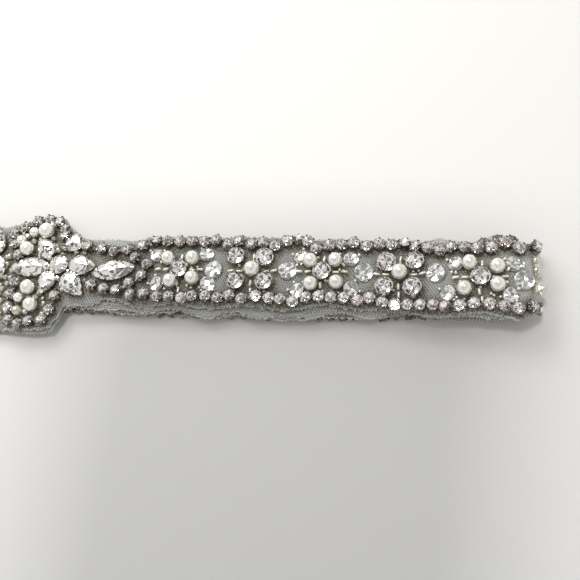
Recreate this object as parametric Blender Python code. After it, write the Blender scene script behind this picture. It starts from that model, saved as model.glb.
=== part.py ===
"""A bridal sash of embellished net, folded flat with its beaded face up.

The sash is one long narrow belt of net. A wide medallion of crystals sits at its middle, and a row of
crystal cup chain runs along each edge. Both arms lie outwards from the medallion, turn over at a fold
about 150 mm out, and come back underneath with the beaded face down, so the two ends meet below the
medallion. The frame: X runs along the sash, Y across it, Z up, with the surface that it lies on at Z = 0
and the origin at the middle of its footprint.

Every piece is cut flat first, in flat sash coordinates: s along the belt from the medallion's middle,
y across it and h above the face of the net. laid() then takes each point to its place in the fold.
"""
import math

import bmesh
import bpy
from mathutils import Matrix, Vector

# Driving dimensions, in millimetres. MM turns them into metres when a piece is laid in place.
MM = 0.001
GAP = 0.3                  # air between touching pieces
NET_WALL = 1.0             # wall of the net panels
NET_FACE = 5.5             # height of the top run's face above the surface
CROWN = 0.5                # how far the cloth drops at CROWN_REACH from its middle line
CROWN_REACH = 10.0
RISE_START = 110.3         # where the top run begins to climb towards the fold
RISE_HEIGHT = 2.9
RISE_RADIUS = 120.0        # of the two easy bends that make the climb
LEVEL_BEFORE_FOLD = 1.0
FOLD_RADIUS = 2.6          # of the net's face round the fold
RETURN_LENGTH = 1.6        # of the lower run that belongs to the fold pieces
DRIFT = 1.5                # how far the lower run leaves the fold sideways

TRIM_BASE = GAP            # the trims sit this far above the net
CUP_HEIGHT = 2.4
CUP_HALF_WIDTH = 1.6
LINK_HALF_WIDTH = 0.9
CUP_PITCH = 3.45
PEARL_RADIUS = 2.0
CHATON_RADIUS = 2.2
CHATON_HEIGHT = 3.0
SEAT_HEIGHT = 0.2          # stones in a cluster stand this far above the trims' base
THREAD_WIDTH = 0.6
THREAD_HEIGHT = 1.1        # of the threads' middle above the net
THREAD_START = 1.0         # how far inside each stone its thread ends
SIDES = 8                  # of a small round stone
PEARL_RINGS = 5

# Edges of the top run's net, from the medallion's middle to the fold (s, y).
BACK_EDGE = ((0, 13.8), (5, 15.0), (9, 16.9), (14, 17.3), (18.5, 15.8), (21.5, 12.6), (24.5, 10.0),
             (28, 8.7), (33, 7.9), (38, 7.6), (42, 8.4), (46, 9.6), (52, 10.2), (88, 10.8), (96, 10.2),
             (118, 10.0), (130, 9.2), (150, 9.0))
FRONT_EDGE = ((0, -18.0), (8, -18.3), (16, -18.2), (20.5, -17.2), (23, -13.6), (23.8, -10.6),
              (27, -10.0), (31, -10.8), (36, -9.2), (40, -9.0), (44, -10.0), (50, -10.4), (90, -10.3),
              (98, -9.4), (109, -9.6), (116, -10.5), (130, -10.9), (150, -11.4))
NET_STEP = 4.4             # spacing of the net's cross sections along an arm
MEDALLION_REACH = 32.0     # half length of the wide part
MEDALLION_STEP = 2.0       # closer cross sections there
FOLD_STEP = 0.9            # and round the fold
NET_ROWS = 6               # faces across the net
SCALLOP_DEPTH = 0.25
SCALLOP_PITCH = 14.0
SCALLOPS_FROM = 50.0

# Middle lines of the two edge chains on the right arm, from the medallion to the fold (s, y).
BACK_ROW = ((28.9, 6.0), (33, 5.8), (36.7, 5.3), (40.6, 5.7), (45, 7.0), (49, 8.1), (60, 8.2), (66, 8.7),
            (70, 7.9), (73, 8.6), (83, 7.8), (87, 9.1), (91.5, 9.1), (95, 7.3), (101, 8.4), (115, 8.4),
            (124, 7.6), (128, 6.9), (137, 6.9), (144, 7.6), (148, 6.9), (170, 6.9))
FRONT_ROW = ((43.8, -8.3), (58, -8.4), (64, -7.9), (69, -8.4), (79, -7.4), (86, -8.3), (90, -8.6),
             (94, -7.4), (103, -7.3), (109, -7.1), (113, -8.4), (126, -8.9), (133, -9.1), (138, -8.5),
             (147, -9.5), (153, -8.9), (170, -8.9))

# Cups of the shorter chains on the right wing, one point each.
WING_BACK = ((7.3, 3.3), (5.4, 6.4), (4.7, 10.1), (7.4, 12.5), (11.0, 14.5), (14.5, 15.0), (17.9, 14.2),
             (20.3, 12.0), (20.6, 9.5))
WING_FRONT = ((8.0, -5.2), (7.4, -9.0), (7.8, -12.8), (8.4, -16.4), (11.9, -16.7), (15.6, -16.0),
              (19.2, -15.6), (20.9, -12.5), (21.5, -9.0))
TAIL_LOOP = ((31.4, -5.4), (35.4, -6.4), (39.2, -6.6), (42.7, -4.3), (46.0, -2.1), (47.1, 1.3),
             (43.5, 3.2))

# Large crystals of the right wing: name, s, y, length, width, turn in degrees (a pear's point at 0 is
# towards the fold), and the kind of outline.
GEMS = (("navette_1", 12.4, -0.9, 10.6, 5.2, 2, "navette"),
        ("crystal_round", 20.9, 0.4, 5.6, 5.6, 0, "round"),
        ("pear_1", 28.4, 0.3, 8.2, 5.4, 0, "pear"),
        ("pear_2", 27.0, -6.3, 9.0, 5.2, -37, "pear"),
        ("pear_3", 17.6, -5.6, 7.2, 4.6, -104, "pear"),
        ("pear_4", 15.3, 5.3, 7.4, 5.0, 134, "pear"),
        ("pear_5", 23.7, 6.4, 6.0, 4.6, 195, "pear"),
        ("navette_2", 38.3, -0.9, 10.8, 4.8, 10, "navette"))
GEM_HEIGHT = 3.0
GEM_SIDES = 12
SEAT_SCALE = 0.82          # a stone's seat and its table, next to its girdle
TABLE_SCALE = 0.6
# The middle column: a round crystal with a pear above and below it.
MIDDLE_GEMS = (("crystal_middle", 0.0, -1.2, 8.4, 8.4, 0, "round"),
               ("pear_middle_back", 0.0, 7.5, 7.8, 5.0, 90, "pear"),
               ("pear_middle_front", 0.0, -10.0, 7.8, 5.0, -90, "pear"))

# Strings of pearls on the wing: s, y, radius.
PEARLS_BACK = ((10.5, 5.3, 2.0), (8.1, 8.5, 1.4), (11.2, 10.4, 1.45), (15.5, 10.3, 2.1))
PEARLS_FRONT = ((12.9, -6.1, 2.0), (11.0, -9.7, 1.4), (11.5, -13.3, 1.4), (15.6, -12.1, 1.9))

# The motifs along the arm: middle of each (s, y), and the corners where its outer stones sit.
FLOWERS = ((56.8, 0.0), (96.6, 0.4), (137.5, -1.1))
FLOWER_CORNER = (3.5, 3.2)
DIAMONDS = ((77.4, 0.4), (117.1, 0.0))
DIAMOND_CORNER = (3.9, 3.4)
# Small crystals that turn over the fold: s, y, radius.
FOLD_STONES = ((152.0, 2.6, 1.45), (152.6, -0.8, 1.45), (152.2, -4.4, 1.45))

# The layers below: sizes of the one solid that stands for the lower run.
UNDER_FLAT = 7.6           # half width that rests on the surface
UNDER_CHAIN = 9.7          # reach of the lower run's own edge chain
UNDER_MARGIN = 10.9        # reach of its net margin, before the scallops
UNDER_SCALLOP = 0.9
UNDER_SHOULDER = 6.0       # half width of the level part on top
UNDER_TOP = 4.2
UNDER_FRONT_SHIFT = -1.3   # the lower run lies this far to the front near the medallion
UNDER_BACK_SHIFT = 0.6     # and this far to the back near the fold
UNDER_SHIFT_FROM = 80.0
UNDER_SHIFT_TO = 135.0

bend_angle = math.acos(1 - RISE_HEIGHT / (2 * RISE_RADIUS))
bend_length = RISE_RADIUS * bend_angle
bend_reach = RISE_RADIUS * math.sin(bend_angle)
FOLD_X = RISE_START + 2 * bend_reach + LEVEL_BEFORE_FOLD
FOLD_S = RISE_START + 2 * bend_length + LEVEL_BEFORE_FOLD
FOLD_LENGTH = math.pi * FOLD_RADIUS
RETURN_S = FOLD_S + FOLD_LENGTH + RETURN_LENGTH
MIDDLE_Y = -(max(y for s, y in BACK_EDGE) + min(y for s, y in FRONT_EDGE)) / 2

NET_COLOUR = (0.36, 0.35, 0.33)
METAL_COLOUR = (0.17, 0.14, 0.12)
CRYSTAL_COLOUR = (0.80, 0.76, 0.80)
PEARL_COLOUR = (0.74, 0.73, 0.62)


def clear_scene():
    """Removes whatever the file opened with."""
    for leftover in list(bpy.data.objects):
        bpy.data.objects.remove(leftover, do_unlink=True)


def finish_material(name, colour, roughness, metallic):
    """A plain Principled finish."""
    material = bpy.data.materials.new(name)
    material.use_nodes = True
    shader = material.node_tree.nodes["Principled BSDF"]
    shader.inputs["Base Color"].default_value = (*colour, 1.0)
    shader.inputs["Roughness"].default_value = roughness
    shader.inputs["Metallic"].default_value = metallic
    return material


def eased(t):
    """A smooth step from 0 to 1."""
    t = min(max(t, 0.0), 1.0)
    return t * t * (3 - 2 * t)


def along(points, s):
    """The y of a line through hand-placed points, eased from each point to the next."""
    if s <= points[0][0]:
        return points[0][1]
    for (s0, y0), (s1, y1) in zip(points, points[1:]):
        if s <= s1:
            return y0 + (y1 - y0) * eased((s - s0) / (s1 - s0))
    return points[-1][1]


def path(distance):
    """Side view of the net's face: x, z and slope after so much of one arm."""
    if distance < RISE_START:
        return distance, NET_FACE, 0.0
    run = distance - RISE_START
    if run < bend_length:
        slope = run / RISE_RADIUS
        x = RISE_START + RISE_RADIUS * math.sin(slope)
        return x, NET_FACE + RISE_RADIUS * (1 - math.cos(slope)), slope
    if run < 2 * bend_length:
        slope = (2 * bend_length - run) / RISE_RADIUS
        x = RISE_START + 2 * bend_reach - RISE_RADIUS * math.sin(slope)
        return x, NET_FACE + RISE_HEIGHT - RISE_RADIUS * (1 - math.cos(slope)), slope
    top = NET_FACE + RISE_HEIGHT
    if distance < FOLD_S:
        return distance - FOLD_S + FOLD_X, top, 0.0
    if distance < FOLD_S + FOLD_LENGTH:
        turn = (distance - FOLD_S) / FOLD_RADIUS
        x = FOLD_X + FOLD_RADIUS * math.sin(turn)
        return x, top - FOLD_RADIUS * (1 - math.cos(turn)), -turn
    return FOLD_X - (distance - FOLD_S - FOLD_LENGTH), top - 2 * FOLD_RADIUS, -math.pi


def laid(flat):
    """Takes a point of the flat sash (s, y, h) to its place in the folded one, in metres."""
    s, y, h = flat
    side = -1 if s < 0 else 1
    x, z, slope = path(abs(s))
    h -= CROWN * (y / CROWN_REACH) ** 2
    y += MIDDLE_Y + DRIFT * eased((abs(s) - FOLD_S) / FOLD_LENGTH)
    return Vector((side * (x - math.sin(slope) * h), y, z + math.cos(slope) * h)) * MM


def make_object(name, bm, material, place=laid):
    """Lays a flat piece in place, turns its faces outwards and makes it a named object."""
    for vertex in bm.verts:
        vertex.co = place(vertex.co)
    bmesh.ops.recalc_face_normals(bm, faces=bm.faces[:])
    mesh = bpy.data.meshes.new(name)
    bm.to_mesh(mesh)
    bm.free()
    mesh.materials.append(material)
    mesh.shade_smooth()
    mesh.set_sharp_from_angle(angle=math.radians(40))
    piece = bpy.data.objects.new(name, mesh)
    bpy.context.collection.objects.link(piece)
    return piece


def strip(columns, bottom, height):
    """A flat strip from columns of (s, y) points, thickened upwards from the given h."""
    bm = bmesh.new()
    rows = len(columns[0])
    bmesh.ops.create_grid(bm, x_segments=len(columns) - 1, y_segments=rows - 1, size=0.5)
    for vertex in bm.verts:
        column = round((vertex.co.x + 0.5) * (len(columns) - 1))
        row = round((vertex.co.y + 0.5) * (rows - 1))
        vertex.co = (*columns[column][row], bottom)
    lower = bm.faces[:]
    raised = bmesh.ops.extrude_face_region(bm, geom=lower)["geom"]
    top = [item for item in raised if isinstance(item, bmesh.types.BMVert)]
    bmesh.ops.translate(bm, verts=top, vec=(0, 0, height))
    return bm


def net_columns(start, end, step):
    """Cross sections of the net between its two edges."""
    count = round(abs(end - start) / step)
    columns = []
    for i in range(count + 1):
        s = start + (end - start) * i / count
        reach = min(abs(s), FOLD_S)
        ripple = SCALLOP_DEPTH * math.sin(2 * math.pi * reach / SCALLOP_PITCH) * (reach > SCALLOPS_FROM)
        back = along(BACK_EDGE, reach) + ripple
        front = along(FRONT_EDGE, reach) + ripple
        columns.append([(s, front + (back - front) * j / NET_ROWS) for j in range(NET_ROWS + 1)])
    return columns


def net_panels(net):
    """The top run with its medallion, and a piece round each fold."""
    top_end = FOLD_S - GAP / 2
    left = net_columns(-top_end, -MEDALLION_REACH, NET_STEP)[:-1]
    medallion = net_columns(-MEDALLION_REACH, MEDALLION_REACH, MEDALLION_STEP)
    right = net_columns(MEDALLION_REACH, top_end, NET_STEP)[1:]
    make_object("net_top", strip(left + medallion + right, -NET_WALL, NET_WALL), net)
    for side, half in ((1, "right"), (-1, "left")):
        columns = net_columns(side * (FOLD_S + GAP / 2), side * RETURN_S, FOLD_STEP)
        make_object("net_fold_" + half, strip(columns, -NET_WALL, NET_WALL), net)


def under_shift(x):
    """How far the lower run lies to the back at x."""
    t = eased((abs(x) - UNDER_SHIFT_FROM) / (UNDER_SHIFT_TO - UNDER_SHIFT_FROM))
    return UNDER_FRONT_SHIFT + (UNDER_BACK_SHIFT - UNDER_FRONT_SHIFT) * t


def under_section(x):
    """One closed cross section of the hidden layers: resting face, edge chain, net margin, crown."""
    margin = UNDER_MARGIN + UNDER_SCALLOP * abs(math.sin(math.pi * x / SCALLOP_PITCH))
    back = [(UNDER_FLAT, 0.0), (UNDER_CHAIN, 0.7), (UNDER_CHAIN, 2.0), (margin, 2.6), (margin, 3.1),
            (UNDER_SHOULDER, UNDER_TOP - 0.25)]
    front = [(-y, z) for y, z in reversed(back)]
    shift = under_shift(x) + MIDDLE_Y
    return [Vector((x, y + shift, z)) for y, z in back + [(0.0, UNDER_TOP)] + front]


def add_loft(bm, sections):
    """A closed body through rings of points: the first ring's edge is extruded to each of the others."""
    ring = [bm.verts.new(point) for point in sections[0]]
    edges = bm.faces.new(ring).edges[:]
    for section in sections[1:]:
        new = bmesh.ops.extrude_edge_only(bm, edges=edges)["geom"]
        fresh = {item for item in new if isinstance(item, bmesh.types.BMVert)}
        lines = [item for item in new if isinstance(item, bmesh.types.BMEdge)]
        edges = [line for line in lines if fresh.issuperset(line.verts)]
        ring = [next(e.other_vert(v) for e in v.link_edges if e.other_vert(v) in fresh) for v in ring]
        for vertex, point in zip(ring, section):
            vertex.co = point
    bm.faces.new(ring)


def under_layers(net):
    """The lower run of both arms, as one rounded solid that rests on the surface."""
    end = FOLD_X - RETURN_LENGTH - GAP
    count = round(2 * end / (SCALLOP_PITCH / 3))
    bm = bmesh.new()
    add_loft(bm, [under_section(-end + 2 * end * i / count) for i in range(count + 1)])
    make_object("under_layers", bm, net, place=lambda point: point * MM)


def chain_strip(cups):
    """A run of cup chain through the cups' middles: wide at each cup and narrow at each link."""
    middles = [Vector(cup) for cup in cups]
    lead = (middles[0] - middles[1]).normalized() * CUP_HALF_WIDTH
    tail = (middles[-1] - middles[-2]).normalized() * CUP_HALF_WIDTH
    stations = [(middles[0] + lead, LINK_HALF_WIDTH)]
    for here, after in zip(middles, middles[1:]):
        stations.append((here, CUP_HALF_WIDTH))
        stations.append(((here + after) / 2, LINK_HALF_WIDTH))
    stations.append((middles[-1], CUP_HALF_WIDTH))
    stations.append((middles[-1] + tail, LINK_HALF_WIDTH))
    columns = []
    for i, (point, half) in enumerate(stations):
        before = stations[max(i - 1, 0)][0]
        after = stations[min(i + 1, len(stations) - 1)][0]
        across = (after - before).normalized().orthogonal()
        columns.append([tuple(point - across * half), tuple(point + across * half)])
    return strip(columns, TRIM_BASE, CUP_HEIGHT)


def row_cups(line, end):
    """Cup middles one pitch apart along an edge line, up to the end."""
    cups = []
    s = line[0][0]
    while s < end:
        y = along(line, s)
        cups.append((s, y))
        slope = along(line, s + 1) - along(line, s)
        s += CUP_PITCH / math.hypot(1, slope)
    return cups


def mirrored(points, side):
    """The same points on the right (1) or left (-1) half."""
    return [(side * s, y) for s, y in points]


def chains(metal):
    """The edge chains, the wing outlines and the loops round the second navettes."""
    runs = (("chain_back", row_cups(BACK_ROW, RETURN_S - CUP_HALF_WIDTH)),
            ("chain_front", row_cups(FRONT_ROW, RETURN_S - CUP_HALF_WIDTH)),
            ("wing_chain_back", WING_BACK), ("wing_chain_front", WING_FRONT),
            ("tail_chain", TAIL_LOOP))
    for name, cups in runs:
        for side, half in ((1, "right"), (-1, "left")):
            make_object(name + "_" + half, chain_strip(mirrored(cups, side)), metal)


def add_stone(bm, outline, low, height):
    """A stone in its cup: a seat, the outline itself at the girdle, and a smaller table on top."""
    middle = sum(outline, Vector()) / len(outline)
    levels = ((low, SEAT_SCALE), (low + height / 2, 1.0), (low + height, TABLE_SCALE))
    rings = [[middle + (point - middle) * scale + Vector((0, 0, level)) for point in outline]
             for level, scale in levels]
    add_loft(bm, rings)


def round_outline(s, y, radius):
    """Corners of a small round stone."""
    turns = [2 * math.pi * (i + 0.5) / SIDES for i in range(SIDES)]
    return [Vector((s + radius * math.cos(a), y + radius * math.sin(a), 0)) for a in turns]


def gem_outline(s, y, length, width, turn, kind):
    """Corners of a large crystal: round, a navette pointed at both ends, or a pear pointed at one."""
    turned = Matrix.Rotation(math.radians(turn), 3, "Z")
    corners = []
    for i in range(GEM_SIDES):
        a = 2 * math.pi * i / GEM_SIDES
        squeeze = {"round": 1.0, "navette": abs(math.sin(a)), "pear": 1.3 * math.sin(a / 2)}[kind]
        corner = Vector((length / 2 * math.cos(a), width / 2 * math.sin(a) * squeeze, 0))
        corners.append(turned @ corner + Vector((s, y, 0)))
    return corners


def gems(crystal):
    """The large crystals of both wings and of the middle column."""
    placed = list(MIDDLE_GEMS)
    for name, s, y, length, width, turn, kind in GEMS:
        placed.append((name + "_right", s, y, length, width, turn, kind))
        placed.append((name + "_left", -s, y, length, width, 180 - turn, kind))
    for name, s, y, length, width, turn, kind in placed:
        bm = bmesh.new()
        add_stone(bm, gem_outline(s, y, length, width, turn, kind), TRIM_BASE, GEM_HEIGHT)
        make_object(name, bm, crystal)


def add_pearl(bm, s, y, radius=PEARL_RADIUS):
    """A pearl whose lowest point is in line with the seat of its cluster."""
    place = Matrix.Translation((s, y, TRIM_BASE + SEAT_HEIGHT + radius))
    bmesh.ops.create_uvsphere(bm, u_segments=SIDES, v_segments=PEARL_RINGS, radius=radius, matrix=place)


def add_chaton(bm, s, y, radius=CHATON_RADIUS, height=CHATON_HEIGHT):
    """A round crystal in its cup."""
    add_stone(bm, round_outline(s, y, radius), TRIM_BASE + SEAT_HEIGHT, height)


def add_thread(bm, start, end):
    """A square thread between two stones, ending inside each."""
    run = Vector((*end, 0)) - Vector((*start, 0))
    length = run.length - 2 * THREAD_START
    middle = (Vector((*start, 0)) + Vector((*end, 0))) / 2 + Vector((0, 0, TRIM_BASE + THREAD_HEIGHT))
    turned = Matrix.Rotation(math.atan2(run.y, run.x), 4, "Z")
    size = Matrix.Diagonal((length, THREAD_WIDTH, THREAD_WIDTH, 1))
    bmesh.ops.create_cube(bm, size=1.0, matrix=Matrix.Translation(middle) @ turned @ size)


def flat_object(name, bm):
    """A working object in flat coordinates."""
    bmesh.ops.recalc_face_normals(bm, faces=bm.faces[:])
    mesh = bpy.data.meshes.new(name)
    bm.to_mesh(mesh)
    bm.free()
    piece = bpy.data.objects.new(name, mesh)
    bpy.context.collection.objects.link(piece)
    return piece


def cluster(name, stones, threads, material):
    """Stones and the threads that string them, united in the flat and then laid in place."""
    body = flat_object(name + "_stones", stones)
    cutter = flat_object(name + "_threads", threads)
    union = body.modifiers.new("union", "BOOLEAN")
    union.operation = "UNION"
    union.object = cutter
    bpy.context.view_layer.update()
    evaluated = body.evaluated_get(bpy.context.evaluated_depsgraph_get())
    bm = bmesh.new()
    bm.from_mesh(evaluated.data)
    bpy.data.objects.remove(body, do_unlink=True)
    bpy.data.objects.remove(cutter, do_unlink=True)
    make_object(name, bm, material)


def add_small_crystal(bm, s, y, radius):
    """A bead-like crystal, as tall as it is wide."""
    add_chaton(bm, s, y, radius, 2 * radius)


def motif(name, middle, corner, add_middle, add_corner, material):
    """A stitched motif: one stone in the middle and four round it, each tied to the middle one."""
    stones = bmesh.new()
    threads = bmesh.new()
    s, y = middle
    add_middle(stones, s, y)
    for ds in (-corner[0], corner[0]):
        for dy in (-corner[1], corner[1]):
            add_corner(stones, s + ds, y + dy)
            add_thread(threads, middle, (s + ds, y + dy))
    cluster(name, stones, threads, material)


def string_of_stones(name, spots, side, add, material):
    """A row of pearls or crystals, strung one after another."""
    stones = bmesh.new()
    threads = bmesh.new()
    for s, y, radius in spots:
        add(stones, side * s, y, radius)
    for start, end in zip(spots, spots[1:]):
        add_thread(threads, (side * start[0], start[1]), (side * end[0], end[1]))
    cluster(name, stones, threads, material)


def motifs(pearl, crystal):
    """The flowers, the diamonds, the wing's strings of pearls and the stones at each fold."""
    for side, half in ((1, "right"), (-1, "left")):
        for i, (s, y) in enumerate(FLOWERS, 1):
            motif(f"flower_{i}_{half}", (side * s, y), FLOWER_CORNER, add_chaton, add_pearl, pearl)
        for i, (s, y) in enumerate(DIAMONDS, 1):
            motif(f"diamond_{i}_{half}", (side * s, y), DIAMOND_CORNER, add_pearl, add_chaton, crystal)
        string_of_stones("pearls_back_" + half, PEARLS_BACK, side, add_pearl, pearl)
        string_of_stones("pearls_front_" + half, PEARLS_FRONT, side, add_pearl, pearl)
        string_of_stones("fold_stones_" + half, FOLD_STONES, side, add_small_crystal, crystal)


def build_sash():
    """Cuts every piece and lays it in the fold."""
    clear_scene()
    net = finish_material("net", NET_COLOUR, 0.8, 0.0)
    metal = finish_material("cup_metal", METAL_COLOUR, 0.35, 1.0)
    crystal = finish_material("crystal", CRYSTAL_COLOUR, 0.05, 0.0)
    pearl = finish_material("pearl", PEARL_COLOUR, 0.25, 0.0)
    under_layers(net)
    net_panels(net)
    chains(metal)
    gems(crystal)
    motifs(pearl, crystal)


build_sash()
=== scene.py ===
# %% [markdown]
# # A bridal sash of net and crystal, folded flat
#
# This notebook dresses a finished solid model of a beaded bridal sash. The sash is a long narrow belt of
# tulle. A medallion of crystals sits at its middle, cup chain runs along both edges, and flowers of pearl
# and crystal fill the band between. It lies folded: the beaded face is up, each arm turns over about
# 150 mm from the middle, and the rest comes back underneath with its face down.
#
# Every small thing on the belt is placed the way an embroiderer thinks of it: so far along the belt, so
# far across it, so far above the net. One function then carries each place round the fold.

# %% Load the frame
import math
import random

import bmesh
import bpy
from mathutils import Matrix, Vector, noise


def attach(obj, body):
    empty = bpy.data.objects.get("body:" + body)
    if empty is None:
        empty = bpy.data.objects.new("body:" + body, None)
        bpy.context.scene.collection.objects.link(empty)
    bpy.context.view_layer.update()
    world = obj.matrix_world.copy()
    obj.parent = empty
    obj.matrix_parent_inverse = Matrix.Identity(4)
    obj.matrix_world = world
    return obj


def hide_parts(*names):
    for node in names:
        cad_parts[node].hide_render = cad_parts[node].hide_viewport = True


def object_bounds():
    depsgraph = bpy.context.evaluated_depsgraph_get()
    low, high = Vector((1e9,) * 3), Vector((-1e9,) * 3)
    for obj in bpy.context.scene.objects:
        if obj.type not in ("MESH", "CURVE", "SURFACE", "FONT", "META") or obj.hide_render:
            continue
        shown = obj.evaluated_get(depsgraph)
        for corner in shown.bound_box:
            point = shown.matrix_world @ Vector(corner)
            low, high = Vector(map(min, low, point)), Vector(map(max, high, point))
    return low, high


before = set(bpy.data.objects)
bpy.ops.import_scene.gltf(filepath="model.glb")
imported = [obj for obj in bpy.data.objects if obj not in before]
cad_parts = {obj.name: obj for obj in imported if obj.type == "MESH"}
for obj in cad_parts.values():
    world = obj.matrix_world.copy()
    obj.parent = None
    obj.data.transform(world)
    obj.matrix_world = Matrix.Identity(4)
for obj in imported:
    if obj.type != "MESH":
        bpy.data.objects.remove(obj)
cad_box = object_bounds()
print("solid model's box:", [[round(x, 4) for x in corner] for corner in cad_box])

# %% [markdown]
# ## The belt's own coordinates
#
# A sash is designed flat. Its real shape here is a bent ribbon, so I keep three flat numbers for every
# place: s along the belt from the medallion's middle, y across it and h above the net, in millimetres.
# `laid` follows the belt along the table, up an easy rise, round the fold and back underneath. Bending
# the finished meshes with a curve modifier would also work, but a plain function can place whole beads
# upright on the cloth without bending them.

# %% Where the belt goes
MM = 0.001
NET_FACE = 5.5
RISE_START = 110.3
RISE_HEIGHT = 2.9
RISE_RADIUS = 120.0
FOLD_RADIUS = 2.6
CROWN = 0.005
MIDDLE_Y = 0.5
FOLD_DRIFT = 1.5

bend = math.acos(1 - RISE_HEIGHT / (2 * RISE_RADIUS))
FOLD_X = RISE_START + 2 * RISE_RADIUS * math.sin(bend) + 1.0
FOLD_S = RISE_START + 2 * RISE_RADIUS * bend + 1.0
FOLD_LENGTH = math.pi * FOLD_RADIUS
LOWER_S = FOLD_S + FOLD_LENGTH
END_S = LOWER_S + FOLD_X - 0.5


def eased(t):
    """A smooth step from 0 to 1."""
    t = min(max(t, 0.0), 1.0)
    return t * t * (3 - 2 * t)


def along(points, s):
    """The y of a line through given (s, y) points."""
    if s <= points[0][0]:
        return points[0][1]
    for (s0, y0), (s1, y1) in zip(points, points[1:]):
        if s <= s1:
            return y0 + (y1 - y0) * eased((s - s0) / (s1 - s0))
    return points[-1][1]


def path(distance):
    """Side view of the net's face: x, z and slope after so much of one arm."""
    run = distance - RISE_START
    rise = RISE_RADIUS * bend
    top = NET_FACE + RISE_HEIGHT
    if run < 0:
        return distance, NET_FACE, 0.0
    if run < rise:
        slope = run / RISE_RADIUS
        x = RISE_START + RISE_RADIUS * math.sin(slope)
        return x, NET_FACE + RISE_RADIUS * (1 - math.cos(slope)), slope
    if run < 2 * rise:
        slope = (2 * rise - run) / RISE_RADIUS
        x = FOLD_X - 1.0 - RISE_RADIUS * math.sin(slope)
        return x, top - RISE_RADIUS * (1 - math.cos(slope)), slope
    if distance < FOLD_S:
        return distance - FOLD_S + FOLD_X, top, 0.0
    if distance < LOWER_S:
        turn = (distance - FOLD_S) / FOLD_RADIUS
        x = FOLD_X + FOLD_RADIUS * math.sin(turn)
        return x, top - FOLD_RADIUS * (1 - math.cos(turn)), -turn
    back = distance - LOWER_S
    return FOLD_X - back, top - 2 * FOLD_RADIUS - 0.25 * eased(back / 15), -math.pi


def side_shift(distance):
    """How far the belt has wandered sideways: it leaves the fold at a slight angle."""
    x = path(distance)[0]
    lower = 0.6 - 1.9 * (1 - eased((x - 80) / 55))
    fold = FOLD_DRIFT * eased((distance - FOLD_S) / FOLD_LENGTH)
    return fold + (lower - fold) * eased((distance - LOWER_S) / 12)


def laid(s, y, h):
    """The place of a flat point in the folded belt, in metres."""
    side = -1 if s < 0 else 1
    x, z, slope = path(abs(s))
    h -= CROWN * y * y * math.cos(slope)
    y += MIDDLE_Y + side_shift(abs(s))
    return Vector((side * (x - math.sin(slope) * h), y, z + math.cos(slope) * h)) * MM


def seat(s, y, h=0.0, turn=0.0, lean=0.0, lean_to=0.0):
    """A standing place on the belt: Z out of the cloth, X along it, then turned and leaned over."""
    middle = laid(s, y, h)
    out = (laid(s, y, h + 1) - middle).normalized()
    ahead = (laid(s + 0.5, y, h) - laid(s - 0.5, y, h)).normalized()
    across = out.cross(ahead).normalized()
    ahead = across.cross(out)
    stand = Matrix((ahead, across, out)).transposed().to_4x4()
    tip = Matrix.Rotation(lean_to, 4, "Z") @ Matrix.Rotation(lean, 4, "Y") @ Matrix.Rotation(-lean_to, 4, "Z")
    return Matrix.Translation(middle) @ stand @ tip @ Matrix.Rotation(turn, 4, "Z") @ Matrix.Scale(MM, 4)


print("the fold is", round(FOLD_X, 1), "mm out; half the belt is", round(END_S, 1), "mm long")

# %% [markdown]
# ## Where things are sewn
#
# The rows and outlines are a maker's marks on the pattern: a handful of points each, in millimetres, for
# one half of the belt. The other half is its mirror. Small wanderings in the rows are on purpose, because
# a hand-sewn chain is never straight.

# %% The pattern's marks
BACK_EDGE = ((0, 12.4), (5, 13.4), (9, 15.6), (14, 16.6), (18.5, 15.4), (21.5, 12.4), (24.5, 10.0),
             (28, 8.7), (33, 7.9), (38, 7.6), (42, 8.4), (46, 9.6), (52, 10.2), (88, 10.8), (96, 10.2),
             (118, 10.0), (130, 9.2), (150, 9.0))
FRONT_EDGE = ((0, -18.0), (8, -18.3), (16, -18.0), (19.6, -17.2), (22.2, -13.8), (23.4, -10.8),
              (27, -10.0), (31, -10.8), (36, -9.2), (40, -9.0), (44, -10.0), (50, -10.4), (90, -10.3),
              (98, -9.4), (109, -9.6), (116, -10.5), (130, -10.9), (150, -10.9))
BACK_ROW = ((29, 6.0), (33, 5.8), (36.7, 5.3), (40.6, 5.7), (45, 6.9), (48.5, 8.1), (62.7, 8.5),
            (66.2, 8.9), (69.8, 7.7), (73, 8.8), (76.5, 7.8), (79.6, 8.4), (83.1, 7.6), (86, 9.1),
            (92, 9.3), (94.5, 7.0), (98, 8.0), (104.6, 8.6), (108, 8.0), (111.4, 8.8), (121.3, 7.9),
            (124.4, 7.5), (127.6, 6.5), (130.6, 7.7), (134, 7.0), (140.4, 7.0), (144, 8.3), (147.3, 7.2),
            (151.2, 7.5))
FRONT_ROW = ((43.7, -7.9), (47.3, -7.5), (51.3, -8.0), (58.3, -8.1), (61.5, -7.4), (65.2, -7.5),
             (68.6, -8.0), (71.8, -7.4), (75.3, -7.9), (79, -6.8), (82.8, -7.5), (89.2, -8.2),
             (92.8, -6.9), (103, -6.9), (106.6, -7.3), (109.8, -6.5), (113, -8.0), (133, -8.7),
             (136.6, -8.0), (140.2, -8.2), (144, -8.8), (147.2, -9.2), (150.2, -8.4), (153.6, -8.6))
WING_BACK = ((7.3, 3.3), (5.4, 6.4), (4.7, 10.1), (7.4, 12.5), (11.0, 14.5), (14.5, 15.0), (17.9, 14.2),
             (20.3, 12.0), (20.6, 9.5))
WING_FRONT = ((8.2, -5.2), (7.0, -8.6), (7.0, -12.4), (7.9, -15.8), (10.6, -17.2), (14.0, -16.2),
              (17.6, -16.0), (19.9, -12.8), (20.9, -8.8))
TAIL_LOOP = ((31.4, -5.4), (35.4, -6.4), (39.2, -6.6), (42.7, -4.3), (46.0, -2.1), (47.1, 1.3),
             (43.5, 3.2))
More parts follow.
